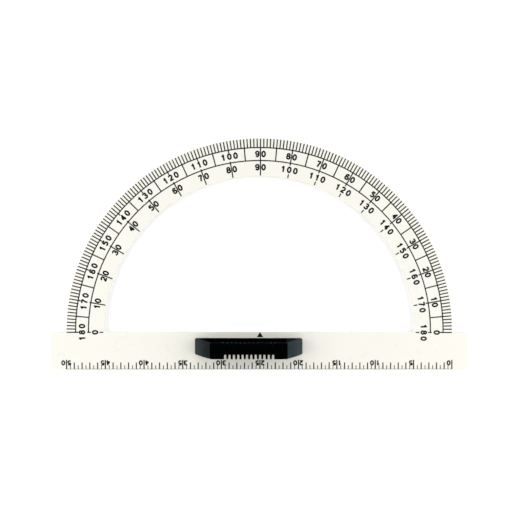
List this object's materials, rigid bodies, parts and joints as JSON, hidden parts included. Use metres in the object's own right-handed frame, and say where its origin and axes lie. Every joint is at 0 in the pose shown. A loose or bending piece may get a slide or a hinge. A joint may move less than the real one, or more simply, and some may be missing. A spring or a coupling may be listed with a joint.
{
  "type": "protractor",
  "caption": "Large board protractor: half-ring degree scale with a straight ruler bar, a black bar-shaped grip with comb edges on the front, and disc magnets in the back.",
  "frame": {"origin": "centre of the degree scale, on the plate's rear face", "axes": "+X along the ruler bar towards the 0 degree end of the outer scale, +Y from the ruler bar towards the top of the half ring, +Z out of the printed face towards the grip"},
  "size_m": [0.54, 0.298, 0.031],
  "materials": {
    "plate": "cream-white rigid plastic sheet, satin gloss",
    "ink": "screen-printed black ink, matt",
    "grip": "black moulded plastic, satin with a very fine grain",
    "screw": "zinc-plated steel",
    "magnet": "nickel-plated disc magnet"
  },
  "bodies": {
    "root": {"scale_plate": "plate", "degree_scale": "ink", "ruler_scale": "ink", "centre_mark": "ink", "grip": "grip", "grip_screw_1": "screw", "grip_screw_2": "screw", "disc_magnet_1": "magnet", "disc_magnet_2": "magnet", "disc_magnet_3": "magnet", "disc_magnet_4": "magnet", "disc_magnet_5": "magnet", "disc_magnet_6": "magnet", "disc_magnet_7": "magnet"}
  },
  "joints": []
}
